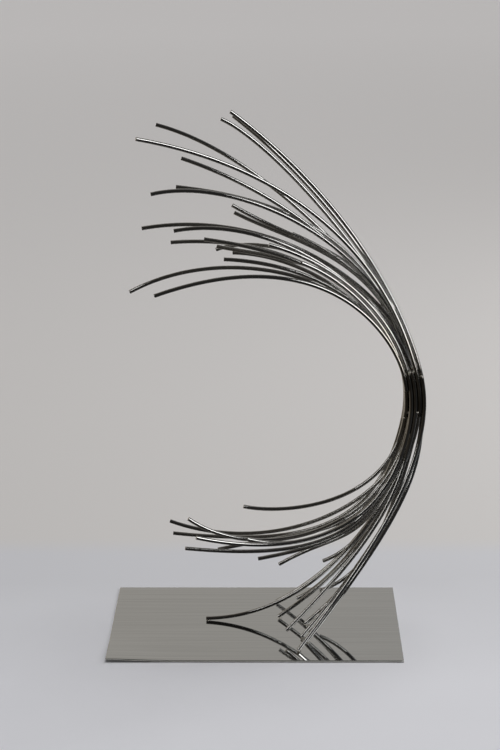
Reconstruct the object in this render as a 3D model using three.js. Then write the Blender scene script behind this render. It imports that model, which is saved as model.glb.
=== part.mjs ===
// Abstract metal sculpture: a wave of polished steel rods on a thin mirror plate.
//
// Forty-five round rods are lapped side by side and welded into one tight bundle, the waist,
// which stands free beyond the right-hand edge of the plate. From the waist 24 rods sweep up
// and to the left like a breaking wave. The other 21 sweep down and to the left: some of them
// stand on the plate and carry the work, and the rest float above it.
//
// Millimetres, +Z up, +X to the right, +Y to the back. The origin is the centre of the
// plate's underside.

import {
  BoxGeometry,
  Curve,
  EllipseCurve,
  ExtrudeGeometry,
  Group,
  MathUtils,
  Mesh,
  MeshStandardMaterial,
  Shape,
  Vector3,
} from "three";

// ---- Driving dimensions ----

const PLATE_LENGTH = 300;
const PLATE_WIDTH = 200;
const PLATE_THICKNESS = 2;
const CORNER_LIFT = 3; // the front left corner is bent up off the ground
const CORNER_REACH = 85; // how far along each edge the bend runs
const PLATE_CELL = 20; // the plate's mesh, fine enough to follow the bend

const ROD_RADIUS = 2;
const ROD_SIDES = 8;
const FOOT_GAP = 0.3; // air left between a rod's foot and the plate

// The waist: every rod follows one arc, each in its own place in a square grid.
const WAIST_RADIUS = 137;
const WAIST_CENTRE_X = 26;
const WAIST_CENTRE_Z = 244;
const ROD_PITCH = 4.3;
const COLUMNS = 5; // across the bundle, 1 inside the curve
const LAYERS = 9; // through the bundle, 1 at the front
const WAIST_STEP = 6; // degrees of the arc to each straight facet
const UPPER_LEAVE = 15; // degrees round the arc where the upper rods leave it
const LOWER_LEAVE = -12; // and where the lower rods do
const LOWER_LEAVE_OUTSIDE = -4; // or, in the outermost column, where nothing hems them in

// Beyond the waist
const BEND_STEP = 9; // degrees of bend to each straight facet
const SPREAD_START = 0.45; // how much of a rod's sideways spread its last handle has

// Marks a tip that stands on the plate, so that its height follows from the plate's.
const FOOT = null;

// ---- Rod schedule ----
// One row for each rod:
//   column, layer   its place in the waist
//   weld            degrees round the waist where it starts
//   x, y, z         the middle of its free tip
//   slope           degrees of the way its tip points, seen from the front
//   out, home       how straight it leaves the waist and how straight it reaches its tip

const UPPER_RODS = [
  [5, 2, -6, -22, -28, 544, 143, 0.2, 0.45],
  [5, 8, -10, -21, 48, 529, 143, 0.25, 0.35],
  [5, 6, -9, -32, -1, 533, 155, 0.25, 0.2],
  [5, 9, -12, -98, 36, 522, 166, 0.15, 0.35],
  [4, 1, -3, -112, -58, 522, 167, 0.5, 0.2],
  [5, 3, -4, -71, -12, 496, 161, 0.15, 0.5],
  [3, 4, -11, -77, -3, 466, 174, 0.35, 0.5],
  [4, 2, -5, -100, -39, 465, 192, 0.45, 0.25],
  [2, 7, -13, -22, 16, 444, 150, 0.55, 0.45],
  [3, 8, -10, -20, 19, 436, 153, 0.5, 0.3],
  [4, 5, -3, 38, 0, 418, 157, 0.25, 0.45],
  [4, 6, -4, -112, 3, 423, 190, 0.25, 0.45],
  [3, 3, -12, -79, -20, 425, 190, 0.25, 0.4],
  [1, 7, -9, -84, 16, 406, 185, 0.25, 0.5],
  [2, 6, -6, -50, 3, 412, 172, 0.4, 0.3],
  [2, 8, -8, -38, 30, 399, 170, 0.5, 0.25],
  [3, 9, -5, -39, 38, 394, 201, 0.4, 0.3],
  [2, 2, -13, 15, -25, 412, 163, 0.3, 0.4],
  [1, 8, -11, -22, 32, 392, 180, 0.25, 0.4],
  [1, 3, -4, -30, -14, 395, 177, 0.25, 0.5],
  [1, 4, -7, -125, -2, 359, 209, 0.35, 0.4],
  [1, 1, 7, -98, -41, 364, 199, 0.15, 0.7],
  [1, 2, 7, 47, -31, 395, 157, 0.35, 0.3],
  [5, 7, -4, 58, 3, 425, 148, 0.25, 0.25],
];

const LOWER_RODS = [
  [1, 5, 14, -12, -6, 133, 165, 0.5, 0.2],
  [3, 7, 9, -90, 31, 104, 161, 0.35, 0.4],
  [2, 3, 15, -68, -27, 127, 141, 0.5, 0.35],
  [3, 2, 16, -8, -33, 107, 162, 0.4, 0.4],
  [1, 9, 12, -88, 54, 82, 177, 0.45, 0.5],
  [2, 1, 15, -59, -56, 117, 162, 0.55, 0.35],
  [2, 4, 17, -71, -41, 100, 171, 0.5, 0.5],
  [1, 6, 11, -39, 7, 81, 193, 0.55, 0.5],
  [2, 5, 15, 3, -18, 80, 189, 0.5, 0.5],
  [2, 9, 8, 25, 42, 51, 215, 0.7, 0.4],
  [3, 6, 16, 71, 18, 64, 203, 0.2, 0.35],
  [4, 3, 10, -52, 6, FOOT, 182, 0.15, 0.45],
  [4, 9, 14, 22, 55, FOOT, 212, 0.25, 0.4],
  [4, 7, 13, 44, 41, 13, 211, 0.35, 0.2],
  [3, 5, 9, 24, 12, FOOT, 216, 0.3, 0.45],
  [3, 1, 15, 32, -48, 13, 225, 0.25, 0.6],
  [4, 4, 10, 52, -7, FOOT, 221, 0.25, 0.45],
  [5, 1, 12, 44, -77, FOOT, 230, 0.3, 0.35],
  [5, 4, 8, 53, -54, FOOT, 232, 0.2, 0.75],
  [4, 8, 14, 68, 25, 28, 200, 0.4, 0.3],
  [5, 5, 11, 48, -42, FOOT, 230, 0.15, 0.7],
];

// ---- Materials ----

const rodSteel = new MeshStandardMaterial({ color: 0x8c8b88, metalness: 1, roughness: 0.16 });
const mirrorSteel = new MeshStandardMaterial({ color: 0xb4b2ad, metalness: 1, roughness: 0.05 });

// ---- Plate ----

/** How far the bent corner lifts the plate at a point: nothing beyond the corner's reach. */
function cornerLift(x, y) {
  const fromLeft = x + PLATE_LENGTH / 2;
  const fromFront = y + PLATE_WIDTH / 2;
  const nearness = Math.max(0, 1 - (fromLeft + fromFront) / CORNER_REACH);
  return CORNER_LIFT * nearness ** 1.5;
}

function makePlate() {
  const geometry = new BoxGeometry(
    PLATE_LENGTH, PLATE_WIDTH, PLATE_THICKNESS,
    PLATE_LENGTH / PLATE_CELL, PLATE_WIDTH / PLATE_CELL, 1,
  );
  geometry.translate(0, 0, PLATE_THICKNESS / 2);
  const points = geometry.attributes.position;
  for (let i = 0; i < points.count; i += 1) {
    points.setZ(i, points.getZ(i) + cornerLift(points.getX(i), points.getY(i)));
  }
  geometry.computeVertexNormals();
  const plate = new Mesh(geometry, mirrorSteel);
  plate.name = "base_plate";
  return plate;
}

// ---- Rods ----

/** A rod's middle line through given stations, each a place with a direction. */
class RodLine extends Curve {
  constructor(stations) {
    super();
    this.stations = stations;
  }

  stationAt(u) {
    return this.stations[Math.round(u * (this.stations.length - 1))];
  }

  getPointAt(u, target = new Vector3()) {
    return target.copy(this.stationAt(u).place);
  }

  getPoint(u, target) {
    return this.getPointAt(u, target);
  }

  getTangentAt(u, target = new Vector3()) {
    return target.copy(this.stationAt(u).direction);
  }
}

/** The station at an angle round the waist, for a place in the bundle. */
function waistStation(column, layer, degrees) {
  const angle = MathUtils.degToRad(degrees);
  const radius = WAIST_RADIUS + (column - (COLUMNS + 1) / 2) * ROD_PITCH;
  const depth = (layer - (LAYERS + 1) / 2) * ROD_PITCH;
  return {
    place: new Vector3(
      WAIST_CENTRE_X + radius * Math.cos(angle),
      depth,
      WAIST_CENTRE_Z + radius * Math.sin(angle),
    ),
    direction: new Vector3(-Math.sin(angle), 0, Math.cos(angle)),
  };
}

/** Stations round the waist from the weld to where the rod leaves, the same facets for all. */
function waistStations(column, layer, weld, leave) {
  const way = Math.sign(leave - weld);
  const angles = [weld];
  const first = way > 0 ? Math.ceil(weld / WAIST_STEP) : Math.floor(weld / WAIST_STEP);
  for (let k = first; way * (leave - k * WAIST_STEP) > 1; k += way) {
    if (Math.abs(k * WAIST_STEP - weld) > 1) angles.push(k * WAIST_STEP);
  }
  angles.push(leave);
  return angles.map((degrees) => {
    const station = waistStation(column, layer, degrees);
    station.direction.multiplyScalar(way);
    return station;
  });
}

/** The height of a tip's middle: a foot rests on the low edge of its square-cut end. */
function tipHeight(z, slope) {
  if (z !== FOOT) return z;
  return PLATE_THICKNESS + FOOT_GAP + ROD_RADIUS * Math.abs(Math.cos(slope));
}

/** Stations of the free sweep: a cubic from the waist to the tip, leaving out its start. */
function sweepStations(start, tip, slope, out, home) {
  const reach = Math.hypot(tip.x - start.place.x, tip.z - start.place.z);
  const heading = new Vector3(Math.cos(slope), 0, Math.sin(slope));
  const handles = [
    start.place,
    start.place.clone().addScaledVector(start.direction, out * reach),
    tip.clone().addScaledVector(heading, -home * reach),
    tip,
  ];
  handles[2].y = MathUtils.lerp(start.place.y, tip.y, SPREAD_START);

  const bend = MathUtils.radToDeg(start.direction.angleTo(heading));
  const steps = Math.max(5, Math.round(bend / BEND_STEP));
  return Array.from({ length: steps }, (_, i) => cubicStation(handles, (i + 1) / steps));
}

function cubicStation([a, b, c, d], t) {
  const s = 1 - t;
  const place = new Vector3()
    .addScaledVector(a, s ** 3)
    .addScaledVector(b, 3 * s * s * t)
    .addScaledVector(c, 3 * s * t * t)
    .addScaledVector(d, t ** 3);
  const direction = new Vector3()
    .addScaledVector(a, -s * s)
    .addScaledVector(b, s * s - 2 * s * t)
    .addScaledVector(c, 2 * s * t - t * t)
    .addScaledVector(d, t * t)
    .normalize();
  return { place, direction };
}

function rodLine([column, layer, weld, x, y, z, slopeDegrees, out, home], leave) {
  const waist = waistStations(column, layer, weld, leave);
  const slope = MathUtils.degToRad(slopeDegrees);
  const tip = new Vector3(x, y, tipHeight(z, slope));
  return new RodLine([...waist, ...sweepStations(waist.at(-1), tip, slope, out, home)]);
}

/** The rod's round section, as a regular polygon with a corner to each side. */
function rodSection() {
  const outline = new EllipseCurve(0, 0, ROD_RADIUS, ROD_RADIUS);
  return new Shape(outline.getPoints(ROD_SIDES).slice(0, ROD_SIDES));
}

function makeRod(name, row, leave) {
  const line = rodLine(row, leave);
  const geometry = new ExtrudeGeometry(rodSection(), {
    extrudePath: line,
    steps: line.stations.length - 1,
    bevelEnabled: false,
  });
  const rod = new Mesh(geometry, rodSteel);
  rod.name = name;
  return rod;
}

/** Where a lower rod leaves the arc, by its column. */
function lowerLeave(column) {
  return column === COLUMNS ? LOWER_LEAVE_OUTSIDE : LOWER_LEAVE;
}

/** A spray of rods, numbered in the order of its schedule. */
function makeSpray(prefix, schedule, leaveOf) {
  const spray = new Group();
  schedule.forEach((row, i) => {
    spray.add(makeRod(`${prefix}_${String(i + 1).padStart(2, "0")}`, row, leaveOf(row[0])));
  });
  return spray;
}

// ---- The whole sculpture ----

const sculpture = new Group();
sculpture.add(
  makePlate(),
  makeSpray("upper_rod", UPPER_RODS, () => UPPER_LEAVE),
  makeSpray("lower_rod", LOWER_RODS, lowerLeave),
);

export default sculpture;
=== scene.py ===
"""Abstract metal sculpture: a wave of polished steel rods standing on a thin mirror plate.

Metres, +Z up, +X to the right, +Y to the back. Every length on the sculpture is worked out
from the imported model, or is given here in millimetres.
"""

import math

import bmesh
import bpy
from mathutils import Matrix, Vector, noise
from mathutils.geometry import interpolate_bezier


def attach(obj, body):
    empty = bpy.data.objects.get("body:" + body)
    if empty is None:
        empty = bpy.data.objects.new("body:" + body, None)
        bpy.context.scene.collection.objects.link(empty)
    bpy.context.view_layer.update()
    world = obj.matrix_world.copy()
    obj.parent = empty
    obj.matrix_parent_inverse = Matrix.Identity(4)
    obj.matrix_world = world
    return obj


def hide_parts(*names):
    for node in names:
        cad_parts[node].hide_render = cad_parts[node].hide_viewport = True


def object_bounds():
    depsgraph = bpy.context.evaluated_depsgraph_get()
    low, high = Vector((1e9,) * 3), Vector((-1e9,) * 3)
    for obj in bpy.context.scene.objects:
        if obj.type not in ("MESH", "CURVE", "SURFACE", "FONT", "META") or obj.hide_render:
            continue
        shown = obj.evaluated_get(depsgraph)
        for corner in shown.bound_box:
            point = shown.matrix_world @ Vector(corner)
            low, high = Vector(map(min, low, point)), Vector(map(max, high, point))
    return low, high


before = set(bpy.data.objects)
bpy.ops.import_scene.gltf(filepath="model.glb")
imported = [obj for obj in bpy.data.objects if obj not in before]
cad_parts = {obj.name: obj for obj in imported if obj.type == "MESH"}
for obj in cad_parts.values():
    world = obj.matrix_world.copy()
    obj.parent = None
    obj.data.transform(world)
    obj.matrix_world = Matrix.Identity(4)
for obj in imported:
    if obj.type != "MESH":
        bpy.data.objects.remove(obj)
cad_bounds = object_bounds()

MM = 0.001
SAME_PLACE = 0.01 * MM

PLATE = "base_plate"
RODS = sorted(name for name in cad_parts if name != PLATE)

# The camera: its place, the way it faces, and a long lens.
CAMERA_PLACE = (0.0213, -1.9584, 0.8138)
CAMERA_YAW = 0.758
CAMERA_DOWN = 15.465
CAMERA_ROLL = -0.27
LENS = 96.0
SENSOR = 36.0
CLIP_NEAR = 0.05
CLIP_FAR = 100.0

# Round rod
ROD_SIDES = 20
ROD_STEP = 4.0 * MM
ROD_UV = "rod_mm"
CUT_EDGE = 0.2 * MM
END_LOOP = 0.6 * MM
CAP_TURN = math.radians(0.2)  # faces flatter to each other than this are one face of a rod's end
EDGE_STEPS = 2  # facets across a broken edge

# Plate
PLATE_CUTS = 3
PLATE_SMOOTHING = 30
PLATE_EDGE = 0.5 * MM
PLATE_ROLLOVER = 0.75 * MM  # how far the shears rolled the underside's edge
PLATE_BORDER = 1.0 * MM
JOIN_BEND = math.radians(20)  # triangles flatter to each other than this are joined
JOIN_SKEW = math.radians(40)  # as long as the joined face is this near to a rectangle
BROAD_FACE = 0.5  # a broad side's normal is at least this much upright
RIM_TURN = math.radians(45)  # a sharper edge than this is a rim
# sides at most this much upright get the painted reflection: pale and matte, not mirrored
PAINTED_SIDE_SLOPE = 0.3  # a sheared side's normal is at most this much upright

# Surface patterns, each as wide or as long as the real thing unless it says otherwise
DIE_LINE_PITCH = 0.25 * MM  # under 0.1 mm in truth, and drawn coarser so that it shows
DIE_LINE_LENGTH = 33.0 * MM
HANDLING_PATCH = 17.0 * MM
HEAT_TINT_LENGTH = 90.0 * MM
HEAT_TINT_WANDER = 14.0 * MM
WIPING_SMEAR = 70.0 * MM
HAIRLINE_WIDTH = 1.1 * MM  # a few hundredths of a millimetre in truth, and drawn coarser
HAIRLINE_LENGTH = 110.0 * MM
POLISHING_BAND_WIDTH = 3.3 * MM
POLISHING_BAND_LENGTH = 170.0 * MM
WELD_RIPPLE = 0.67 * MM
CLOTH_MOTTLE = 170.0 * MM
# the painted shade on the cloth deepens over this depth towards the back
CLOTH_PAINTED_SHADE_DEPTH = 300.0 * MM

# Weld metal
BEAD_RADIUS = 1.6 * MM
BEAD_RIPPLE = 0.5
BEAD_RIPPLE_LENGTH = 0.6 * MM
FOOT_WELD_REACH = 1.0  # in rod radii
FOOT_WELD_HEIGHT = 0.35 * MM

# Stage, in metres. A brightness of 1.0 is the view's white: a light's own, and for the overhead
# light that of a white cloth under it.
FLOOR_REACH = 14.0
LIGHT_DISTANCE = 2.2
OVERHEAD_WAY = (0.22, 0.2, 0.95)
OVERHEAD_SPREAD = math.radians(40)
OVERHEAD_BRIGHTNESS = 0.35
ROOM_BRIGHTNESS = 0.22
ROOM_BRIGHTNESS_SEEN = 0.53
CLOTH_WARM_FROM = 0.2
CLOTH_WARM_BY = 0.27
# The cloth's painted light, paler far behind the sculpture, runs between these depths.
CLOTH_PAINTED_LIGHT_FROM = 0.4
CLOTH_PAINTED_LIGHT_BY = 6.0


# ---- Small helpers ----


def linear(hex_colour):
    """An sRGB hex colour as linear RGBA."""
    parts = [int(hex_colour[i:i + 2], 16) / 255 for i in (1, 3, 5)]
    return [c / 12.92 if c <= 0.04045 else ((c + 0.055) / 1.055) ** 2.4 for c in parts] + [1.0]


def add_node(tree, kind, inputs=None, **settings):
    """Adds a shader node. An input is named, or numbered where a node has several of a name,
    and it is a value, or a socket to link from."""
    made = tree.nodes.new(kind)
    for name, value in settings.items():
        setattr(made, name, value)
    for name, value in (inputs or {}).items():
        if isinstance(value, bpy.types.NodeSocket):
            tree.links.new(value, made.inputs[name])
        else:
            made.inputs[name].default_value = value
    return made


def new_material(name):
    material = bpy.data.materials.new(name)
    material.use_nodes = True
    material.node_tree.nodes.clear()
    return material, material.node_tree


def finish_mesh(bm, name, material):
    """Turns a bmesh into an object at the origin."""
    mesh = bpy.data.meshes.new(name)
    bm.to_mesh(mesh)
    bm.free()
    mesh.materials.append(material)
    piece = bpy.data.objects.new(name, mesh)
    bpy.context.scene.collection.objects.link(piece)
    return piece


def copied_node(node):
    """A working copy of a CAD node's mesh, with its loose triangles joined."""
    bm = bmesh.new()
    bm.from_mesh(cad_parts[node].data)
    bmesh.ops.remove_doubles(bm, verts=bm.verts, dist=SAME_PLACE)
    return bm


# ---- Camera ----


def make_camera():
    data = bpy.data.cameras.new("camera")
    data.lens = LENS
    data.sensor_width = SENSOR
    data.clip_start = CLIP_NEAR
    data.clip_end = CLIP_FAR
    camera = bpy.data.objects.new("camera", data)
    camera.matrix_world = (
        Matrix.Translation(CAMERA_PLACE)
        @ Matrix.Rotation(math.radians(CAMERA_YAW), 4, "Z")
        @ Matrix.Rotation(math.radians(90 - CAMERA_DOWN), 4, "X")
        @ Matrix.Rotation(math.radians(CAMERA_ROLL), 4, "Z")
    )
    bpy.context.scene.collection.objects.link(camera)
    bpy.context.scene.camera = camera


# ---- Materials ----


def polished_rod():
    """Drawn and polished stainless round rod: a clear reflection, drawn out a little along the
    rod by fine lines from the die, with a straw heat tint where the rods are welded."""
    material, tree = new_material("drawn_polished_stainless_rod")
    uv = add_node(tree, "ShaderNodeUVMap", uv_map=ROD_UV)
    place = add_node(tree, "ShaderNodeSeparateXYZ", {"Vector": uv.outputs["UV"]})

    # The die leaves fine lines centimetres long.
    die = add_node(tree, "ShaderNodeMapping", {
        "Vector": uv.outputs["UV"], "Scale": (MM / DIE_LINE_PITCH, MM / DIE_LINE_LENGTH, 1.0),
    })
    lines = add_node(tree, "ShaderNodeTexNoise", {
        "Vector": die.outputs["Vector"], "Scale": 1.0, "Detail": 3.0, "Roughness": 0.6,
    })
    # Handling leaves duller patches.
    wear = add_node(tree, "ShaderNodeTexNoise", {
        "Vector": add_node(tree, "ShaderNodeTexCoord").outputs["Object"],
        "Scale": 1 / HANDLING_PATCH, "Detail": 4.0, "Roughness": 0.55,
    })
    gloss = add_node(tree, "ShaderNodeMath", {0: lines.outputs["Fac"], 1: wear.outputs["Fac"]},
                     operation="MULTIPLY")
    roughness = add_node(tree, "ShaderNodeMapRange", {
        "Value": gloss.outputs["Value"], "From Min": 0.1, "From Max": 0.45,
        "To Min": 0.05, "To Max": 0.14,
    })

    # Straw and brown oxide round the weld, fading along the rod.
    patches = add_node(tree, "ShaderNodeMapRange", {
        "Value": wear.outputs["Fac"], "From Min": 0.35, "From Max": 0.65,
        "To Min": -HEAT_TINT_WANDER / MM, "To Max": HEAT_TINT_WANDER / MM,
    })
    heat = add_node(tree, "ShaderNodeMath", {0: place.outputs["Y"], 1: patches.outputs["Result"]},
                    operation="ADD")
    along = add_node(tree, "ShaderNodeMapRange", {
        "Value": heat.outputs["Value"], "From Min": 0.0, "From Max": HEAT_TINT_LENGTH / MM,
    })
    tint = add_node(tree, "ShaderNodeValToRGB", {"Fac": along.outputs["Result"]})
    stops = tint.color_ramp.elements
    stops[0].position, stops[0].color = 0.0, linear("#8C8780")
    stops[1].position, stops[1].color = 1.0, linear("#C3C2C0")
    straw = stops.new(0.45)
    straw.color = linear("#B4AFA7")

    bump = add_node(tree, "ShaderNodeBump", {
        "Height": lines.outputs["Fac"], "Strength": 0.05, "Distance": 0.02 * MM,
    })
    shader = add_node(tree, "ShaderNodeBsdfPrincipled", {
        "Base Color": tint.outputs["Color"], "Metallic": 1.0,
        "Roughness": roughness.outputs["Result"], "Normal": bump.outputs["Normal"],
    })
    add_node(tree, "ShaderNodeOutputMaterial", {"Surface": shader.outputs["BSDF"]})
    return material


def mirror_sheet():
    """Mirror-polished stainless sheet: a sharp dark reflection with faint smears and the odd
    hairline scratch, and sides painted pale and matte as a painted reflection of the white cloth."""
    material, tree = new_material("mirror_polished_stainless_sheet")
    place = add_node(tree, "ShaderNodeTexCoord").outputs["Object"]
    smears = add_node(tree, "ShaderNodeTexNoise", {
        "Vector": place, "Scale": 1 / WIPING_SMEAR, "Detail": 5.0, "Roughness": 0.6,
        "Distortion": 0.8,
    })
    hair = add_node(tree, "ShaderNodeMapping", {
        "Vector": place, "Rotation": (0.0, 0.0, math.radians(4)),
        "Scale": (1 / HAIRLINE_LENGTH, 1 / HAIRLINE_WIDTH, 1.0),
    })
    scratches = add_node(tree, "ShaderNodeTexNoise", {
        "Vector": hair.outputs["Vector"], "Scale": 1.0, "Detail": 2.0,
    })
    hairline = add_node(tree, "ShaderNodeMapRange", {
        "Value": scratches.outputs["Fac"], "From Min": 0.68, "From Max": 0.78,
        "To Min": 0.0, "To Max": 0.05,
    })
    smear = add_node(tree, "ShaderNodeMapRange", {
        "Value": smears.outputs["Fac"], "From Min": 0.35, "From Max": 0.75,
        "To Min": 0.015, "To Max": 0.06,
    })
    roughness = add_node(tree, "ShaderNodeMath", {
        0: smear.outputs["Result"], 1: hairline.outputs["Result"],
    }, operation="ADD")
    # The polishing wheel ran along the sheet and left faint bands.
    wheel = add_node(tree, "ShaderNodeMapping", {
        "Vector": place, "Scale": (1 / POLISHING_BAND_LENGTH, 1 / POLISHING_BAND_WIDTH, 1.0),
    })
    bands = add_node(tree, "ShaderNodeTexNoise", {
        "Vector": wheel.outputs["Vector"], "Scale": 1.0, "Detail": 3.0,
    })
    tone = add_node(tree, "ShaderNodeMix", {
        0: bands.outputs["Fac"], 6: linear("#AEAFAE"), 7: linear("#C8C9C8"),
    }, data_type="RGBA")
    # The sides are painted pale and matte instead of mirroring: a painted reflection of the white cloth
    # in front of the plate.
    facing = add_node(tree, "ShaderNodeSeparateXYZ", {
        "Vector": add_node(tree, "ShaderNodeNewGeometry").outputs["True Normal"],
    })
    flatness = add_node(tree, "ShaderNodeMath", {0: facing.outputs["Z"]}, operation="ABSOLUTE")
    broad_side = add_node(tree, "ShaderNodeMath", {
        0: flatness.outputs["Value"], 1: PAINTED_SIDE_SLOPE,
    }, operation="GREATER_THAN").outputs["Value"]
    # Painted reflection: the pale colour on the plate's sides.
    colour = add_node(tree, "ShaderNodeMix", {
        0: broad_side, 6: linear("#D6D5CE"), 7: tone.outputs[2],
    }, data_type="RGBA")
    finish = add_node(tree, "ShaderNodeMix", {
        0: broad_side, 2: 0.6, 3: roughness.outputs["Value"],
    })
    shader = add_node(tree, "ShaderNodeBsdfPrincipled", {
        "Base Color": colour.outputs[2], "Metallic": broad_side,
        "Roughness": finish.outputs[0],
    })
    add_node(tree, "ShaderNodeOutputMaterial", {"Surface": shader.outputs["BSDF"]})
    return material


def weld_metal():
    """Brushed-off weld beads of the same steel: rippled, satin and straw-brown from the heat."""
    material, tree = new_material("stainless_weld_bead")
    place = add_node(tree, "ShaderNodeTexCoord").outputs["Object"]
    ripple = add_node(tree, "ShaderNodeTexNoise", {
        "Vector": place, "Scale": 1 / WELD_RIPPLE, "Detail": 3.0,
    })
    colour = add_node(tree, "ShaderNodeMix", {
        0: ripple.outputs["Fac"], 6: linear("#B5AFA4"), 7: linear("#E0DDD7"),
    }, data_type="RGBA")
    bump = add_node(tree, "ShaderNodeBump", {
        "Height": ripple.outputs["Fac"], "Strength": 0.4, "Distance": 0.1 * MM,
    })
    shader = add_node(tree, "ShaderNodeBsdfPrincipled", {
        "Base Color": colour.outputs[2], "Metallic": 1.0, "Roughness": 0.3,
        "Normal": bump.outputs["Normal"],
    })
    add_node(tree, "ShaderNodeOutputMaterial", {"Surface": shader.outputs["BSDF"]})
    return material


def table_cloth():
    """A plain white cloth, a touch warmer far behind the sculpture. Painted shade greys it towards
    the back of the table, and painted light makes it paler far behind.
    """
    material, tree = new_material("plain_white_cloth")
    place = add_node(tree, "ShaderNodeTexCoord").outputs["Object"]
    mottle = add_node(tree, "ShaderNodeTexNoise", {
        "Vector": place, "Scale": 1 / CLOTH_MOTTLE, "Detail": 6.0,
    })
    depth = add_node(tree, "ShaderNodeSeparateXYZ", {"Vector": place})
    far = add_node(tree, "ShaderNodeMapRange", {
        "Value": depth.outputs["Y"], "From Min": CLOTH_WARM_FROM, "From Max": CLOTH_WARM_BY,
    }, interpolation_type="SMOOTHSTEP")
    # Painted shade: the cloth is greyer towards the back of the table, mixed with a random mottle.
    painted_shade_to_back = add_node(tree, "ShaderNodeMapRange", {
        "Value": depth.outputs["Y"], "From Min": -CLOTH_PAINTED_SHADE_DEPTH / 2, "From Max": CLOTH_PAINTED_SHADE_DEPTH / 2,
        "To Min": 0.1, "To Max": 0.9,
    })
    mottle_and_painted_shade = add_node(tree, "ShaderNodeMath", {
        0: mottle.outputs["Fac"], 1: 0.3, 2: painted_shade_to_back.outputs["Result"],
    }, operation="MULTIPLY_ADD")
    near_tone = add_node(tree, "ShaderNodeMix", {
        0: mottle_and_painted_shade.outputs["Value"], 6: linear("#EFEFF4"), 7: linear("#D9D9DD"),
    }, data_type="RGBA")
    # Painted light: the cloth is paler the farther it lies behind the sculpture, making up for the
    # lamps' light falling off with distance.
    distance = add_node(tree, "ShaderNodeMapRange", {
        "Value": depth.outputs["Y"], "From Min": CLOTH_PAINTED_LIGHT_FROM, "From Max": CLOTH_PAINTED_LIGHT_BY,
    })
    far_tone = add_node(tree, "ShaderNodeMix", {
        0: distance.outputs["Result"], 6: linear("#DCD9D7"), 7: linear("#EFECEB"),
    }, data_type="RGBA")
    tone = add_node(tree, "ShaderNodeMix", {
        0: far.outputs["Result"], 6: near_tone.outputs[2], 7: far_tone.outputs[2],
    }, data_type="RGBA")
    shader = add_node(tree, "ShaderNodeBsdfPrincipled", {
        "Base Color": tone.outputs[2], "Roughness": 0.9, "Specular IOR Level": 0.1,
    })
    add_node(tree, "ShaderNodeOutputMaterial", {"Surface": shader.outputs["BSDF"]})
    return material


# ---- Stage: floor, surroundings and lights ----


def make_floor():
    """A cloth that reaches far behind the sculpture. The metal reflects the surroundings
    in its place."""
    bm = bmesh.new()
    bmesh.ops.create_circle(bm, cap_ends=True, segments=96, radius=FLOOR_REACH)
    floor = finish_mesh(bm, "floor", table_cloth())
    floor.visible_glossy = False


def make_surroundings():
    """Pale behind, dim at the sides and dark in front, as polished metal sees a studio whose
    lights are on the backdrop. Only reflections show that: the rest is an even room."""
    world = bpy.data.worlds.new("studio")
    world.use_nodes = True
    tree = world.node_tree
    tree.nodes.clear()
    way = add_node(tree, "ShaderNodeTexCoord").outputs["Generated"]
    part = add_node(tree, "ShaderNodeSeparateXYZ", {"Vector": way})
    front_to_back = add_node(tree, "ShaderNodeMapRange", {
        "Value": part.outputs["Y"], "From Min": -1.0, "From Max": 1.0,
    })
    depth = add_node(tree, "ShaderNodeValToRGB", {"Fac": front_to_back.outputs["Result"]})
    stops = depth.color_ramp.elements
    stops[0].position, stops[0].color = 0.0, (0.022, 0.022, 0.022, 1)
    stops[1].position, stops[1].color = 1.0, (0.56, 0.56, 0.56, 1)
    for position, value in ((0.25, 0.037), (0.5, 0.08), (0.75, 0.22)):
        stops.new(position).color = (value, value, value, 1)
    side = add_node(tree, "ShaderNodeMapRange", {
        "Value": part.outputs["X"], "From Min": -1.0, "From Max": 1.0,
    })
    cast = add_node(tree, "ShaderNodeMix", {
        0: side.outputs["Result"], 6: linear("#FFF1DA"), 7: linear("#EBF1FA"),
    }, data_type="RGBA")
    seen = add_node(tree, "ShaderNodeMix", {
        0: 1.0, 6: depth.outputs["Color"], 7: cast.outputs[2],
    }, data_type="RGBA", blend_type="MULTIPLY")
    reflected = add_node(tree, "ShaderNodeBackground", {"Color": seen.outputs[2]})
    ray = add_node(tree, "ShaderNodeLightPath")
    # The room lights the cloth dimly, and beyond the cloth's edge it looks as pale as the cloth.
    brightness = add_node(tree, "ShaderNodeMapRange", {
        "Value": ray.outputs["Is Camera Ray"],
        "To Min": ROOM_BRIGHTNESS, "To Max": ROOM_BRIGHTNESS_SEEN,
    })
    room = add_node(tree, "ShaderNodeBackground", {
        "Color": linear("#FFFFFF"), "Strength": brightness.outputs["Result"],
    })
    mixed = add_node(tree, "ShaderNodeMixShader", {
        0: ray.outputs["Is Glossy Ray"],
        1: room.outputs["Background"], 2: reflected.outputs["Background"],
    })
    add_node(tree, "ShaderNodeOutputWorld", {"Surface": mixed.outputs["Shader"]})
    bpy.context.scene.world = world


def strip_light(name, way, along, length, width, brightness):
    """A white rectangular light that faces the middle of the sculpture from a given way, with
    its length lying along another."""
    low, high = cad_bounds
    middle = (Vector(low) + Vector(high)) / 2
    back = Vector(way).normalized()
    side = Vector(along)
    side = (side - back * side.dot(back)).normalized()
    turn = Matrix((side, back.cross(side), back)).transposed().to_4x4()
    data = bpy.data.lights.new(name, "AREA")
    data.shape = "RECTANGLE"
    data.size = length
    data.size_y = width
    data.energy = brightness * math.pi * length * width
    light = bpy.data.objects.new(name, data)
    light.matrix_world = Matrix.Translation(middle + back * LIGHT_DISTANCE) @ turn
    bpy.context.scene.collection.objects.link(light)
    return light


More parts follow.
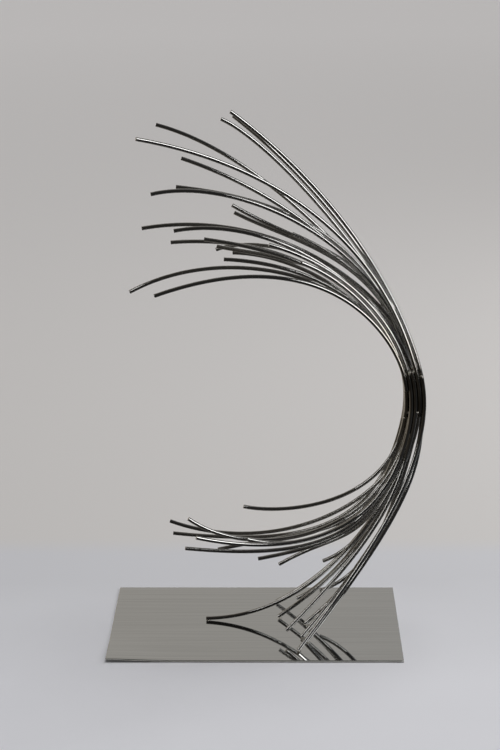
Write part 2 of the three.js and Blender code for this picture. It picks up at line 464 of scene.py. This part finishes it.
def overhead_light():
    """A wide soft light from nearly overhead, which leaves it dark under the lifted corner."""
    data = bpy.data.lights.new("overhead", "SUN")
    data.angle = OVERHEAD_SPREAD
    data.energy = OVERHEAD_BRIGHTNESS * math.pi / Vector(OVERHEAD_WAY).normalized().z
    light = bpy.data.objects.new("overhead", data)
    light.matrix_world = Vector(OVERHEAD_WAY).to_track_quat("Z", "Y").to_matrix().to_4x4()
    light.visible_glossy = False
    bpy.context.scene.collection.objects.link(light)


def make_lights():
    """Two long lights draw the bright lines along the rods. A wide one above and a large one
    to the right light the table."""
    overhead_light()
    key = strip_light(
        "key", way=(0.75, -0.5, 0.44), along=(-0.5, 0.0, 0.86),
        length=2.4, width=0.9, brightness=4.0,
    )
    left = strip_light(
        "left", way=(-0.75, -0.48, 0.38), along=(0.45, -0.2, 0.57),
        length=1.8, width=0.45, brightness=2.8,
    )
    for line_light in (key, left):
        line_light.visible_diffuse = False
    soft = strip_light(
        "soft", way=(0.9, 0.35, 0.5), along=(0.0, 1.0, 0.0),
        length=1.5, width=1.0, brightness=3.4,
    )
    soft.visible_glossy = False


# ---- Rods ----


def rod_rings(node):
    """The middle and the direction of each ring of a rod's CAD tube, from weld to tip."""
    bm = copied_node(node)
    bmesh.ops.dissolve_limit(bm, angle_limit=CAP_TURN, verts=bm.verts, edges=bm.edges)
    caps = sorted(bm.faces, key=lambda face: len(face.verts))[-2:]
    weld_end = max(caps, key=lambda face: face.calc_center_median().x)
    ring = list(weld_end.verts)
    seen = set(ring)
    middles, directions = [], []
    while ring:
        middle = sum((v.co for v in ring), Vector()) / len(ring)
        spokes = [v.co - middle for v in ring]
        across = max(spokes, key=lambda spoke: spokes[0].cross(spoke).length)
        middles.append(middle)
        directions.append(spokes[0].cross(across).normalized())
        onward = [e.other_vert(v) for v in ring for e in v.link_edges]
        ring = [v for v in dict.fromkeys(onward) if v not in seen]
        seen.update(ring)
    radius = max(spoke.length for spoke in spokes)
    bm.free()
    for i, direction in enumerate(directions):
        onward = middles[min(i + 1, len(middles) - 1)] - middles[max(i - 1, 0)]
        if direction.dot(onward) < 0:
            direction.negate()
    return middles, directions, radius


def rod_line(middles, directions):
    """A smooth line through the rings, with an extra point just inside each end."""
    line = [middles[0], middles[0] + directions[0] * END_LOOP]
    for i in range(len(middles) - 1):
        start, end = middles[i], middles[i + 1]
        handle = (end - start).length / 3
        count = max(2, round(3 * handle / ROD_STEP))
        line += interpolate_bezier(
            start, start + directions[i] * handle,
            end - directions[i + 1] * handle, end, count + 1,
        )[1:]
    line[-1:] = [middles[-1] - directions[-1] * END_LOOP, middles[-1]]
    return line


def sweep_round(bm, line, directions, radius):
    """Sweeps a round section along a line, marking how far round and along each corner lies.
    Returns the two faces that close the ends."""
    around = bm.verts.layers.float.new("around")
    along = bm.verts.layers.float.new("along")
    side = directions[0].orthogonal().normalized()
    turn = Vector((0, 0, 1)).rotation_difference(directions[0]).to_matrix().to_4x4()
    bmesh.ops.create_circle(
        bm, segments=ROD_SIDES, radius=radius, matrix=Matrix.Translation(line[0]) @ turn,
    )
    rim, corners = bm.edges[:], bm.verts[:]
    length = 0.0
    for i, direction in enumerate(directions):
        if i > 0:
            bend = directions[i - 1].rotation_difference(direction)
            made = bmesh.ops.extrude_edge_only(bm, edges=rim)["geom"]
            corners = [g for g in made if isinstance(g, bmesh.types.BMVert)]
            rim = [
                g for g in made
                if isinstance(g, bmesh.types.BMEdge) and all(v in corners for v in g.verts)
            ]
            move = Matrix.Translation(line[i]) @ bend.to_matrix().to_4x4()
            bmesh.ops.transform(bm, matrix=move @ Matrix.Translation(-line[i - 1]), verts=corners)
            side = bend @ side
            length += (line[i] - line[i - 1]).length
        for vert in corners:
            spoke = vert.co - line[i]
            vert[around] = math.atan2(spoke.dot(direction.cross(side)), spoke.dot(side))
            vert[along] = length
    return bmesh.ops.holes_fill(bm, edges=bm.edges, sides=0)["faces"]


def lay_rod_uv(bm, radius):
    """A UV map in millimetres: round the rod, and along it from the weld."""
    around = bm.verts.layers.float["around"]
    along = bm.verts.layers.float["along"]
    layer = bm.loops.layers.uv.new(ROD_UV)
    for face in bm.faces:
        turns = [loop.vert[around] for loop in face.loops]
        over_seam = max(turns) - min(turns) > math.pi
        for loop, turn in zip(face.loops, turns):
            if over_seam and turn < 0:
                turn += 2 * math.pi
            loop[layer].uv = (turn * radius / MM, loop.vert[along] / MM)


def make_rod(node, material):
    """One round rod in place of its CAD tube. Returns its middle line and its radius."""
    middles, ring_directions, radius = rod_rings(node)
    line = rod_line(middles, ring_directions)
    inner = [(line[i + 1] - line[i - 1]).normalized() for i in range(1, len(line) - 1)]
    directions = [ring_directions[0], *inner, ring_directions[-1]]
    bm = bmesh.new()
    ends = sweep_round(bm, line, directions, radius)
    bmesh.ops.recalc_face_normals(bm, faces=bm.faces)
    lay_rod_uv(bm, radius)
    rims = [edge for face in ends for edge in face.edges]
    bmesh.ops.bevel(
        bm, geom=rims, offset=CUT_EDGE, segments=EDGE_STEPS, profile=0.5, affect="EDGES", material=-1,
    )
    # Only the flat discs at the ends have more than four corners.
    for face in bm.faces:
        face.smooth = len(face.verts) <= 4
    rod = finish_mesh(bm, f"{node}_round", material)
    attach(rod, "root")
    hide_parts(node)
    return line, radius


# ---- Plate ----


def make_plate(material):
    """The thin plate with its bent corner, from the CAD plate's top, with its top edges broken
    and its underside's edges rolled over. Returns its thickness."""
    bm = copied_node(PLATE)
    upright = next(e for e in bm.edges if (e.verts[0].co.xy - e.verts[1].co.xy).length < SAME_PLACE)
    thickness = upright.calc_length()
    not_top = [face for face in bm.faces if face.normal.z < BROAD_FACE]
    bmesh.ops.delete(bm, geom=not_top, context="FACES")
    bmesh.ops.join_triangles(
        bm, faces=bm.faces, angle_face_threshold=JOIN_BEND, angle_shape_threshold=JOIN_SKEW,
    )
    bmesh.ops.subdivide_edges(bm, edges=bm.edges, cuts=PLATE_CUTS, use_grid_fill=True)
    for _ in range(PLATE_SMOOTHING):
        bmesh.ops.smooth_vert(bm, verts=bm.verts, factor=0.5, use_axis_z=True)

    bmesh.ops.translate(bm, vec=(0, 0, -thickness), verts=bm.verts)
    made = bmesh.ops.extrude_face_region(bm, geom=bm.faces)["geom"]
    raised = [g for g in made if isinstance(g, bmesh.types.BMVert)]
    bmesh.ops.translate(bm, vec=(0, 0, thickness), verts=raised)
    bmesh.ops.recalc_face_normals(bm, faces=bm.faces)
    for up in (1, -1):
        broad = [face for face in bm.faces if face.normal.z * up > BROAD_FACE]
        bmesh.ops.inset_region(
            bm, faces=broad, thickness=PLATE_BORDER, use_boundary=True, use_even_offset=True,
        )
    for offset, under in ((PLATE_ROLLOVER, True), (PLATE_EDGE, False)):
        rims = [edge for edge in bm.edges if edge.calc_face_angle(0.0) > RIM_TURN]
        if under:
            rims = [edge for edge in rims if min(f.normal.z for f in edge.link_faces) < -BROAD_FACE]
        bmesh.ops.bevel(
            bm, geom=rims, offset=offset, segments=EDGE_STEPS, profile=0.5, affect="EDGES", material=-1,
        )
    for face in bm.faces:
        face.smooth = True
    plate = finish_mesh(bm, "mirror_plate", material)
    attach(plate, "root")
    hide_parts(PLATE)
    return thickness


# ---- Welds ----


def add_bead(bm, middle, sizes):
    """A lump of weld metal with a rippled skin."""
    made = bmesh.ops.create_icosphere(
        bm, subdivisions=3, radius=1.0,
        matrix=Matrix.Translation(middle) @ Matrix.Diagonal((*sizes, 1.0)),
    )
    for vert in made["verts"]:
        ripple = noise.noise(vert.co / BEAD_RIPPLE_LENGTH)
        vert.co += (vert.co - middle) * BEAD_RIPPLE * ripple


def make_welds(rods, plate_top, material):
    """A tack at each rod's cut end, between it and the rod beside it, and one under each foot."""
    bm = bmesh.new()
    for name, (line, radius) in rods.items():
        others = [point for other in rods if other != name for point in rods[other][0]]
        beside = min(others, key=lambda point: (point - line[0]).length)
        add_bead(bm, (line[0] + beside) / 2, (BEAD_RADIUS,) * 3)
        tip = line[-1]
        if tip.z - plate_top < 2 * radius:
            under = tip + (line[-3] - tip).normalized() * radius
            reach = FOOT_WELD_REACH * radius
            add_bead(bm, Vector((under.x, under.y, plate_top)), (reach, reach, FOOT_WELD_HEIGHT))
    for face in bm.faces:
        face.smooth = True
    welds = finish_mesh(bm, "weld_tacks", material)
    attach(welds, "root")


def main():
    bpy.context.scene.view_settings.view_transform = "Standard"
    make_camera()
    make_floor()
    make_surroundings()
    make_lights()
    rod_finish = polished_rod()
    rods = {node: make_rod(node, rod_finish) for node in RODS}
    thickness = make_plate(mirror_sheet())
    make_welds(rods, cad_bounds[0][2] + thickness, weld_metal())


main()
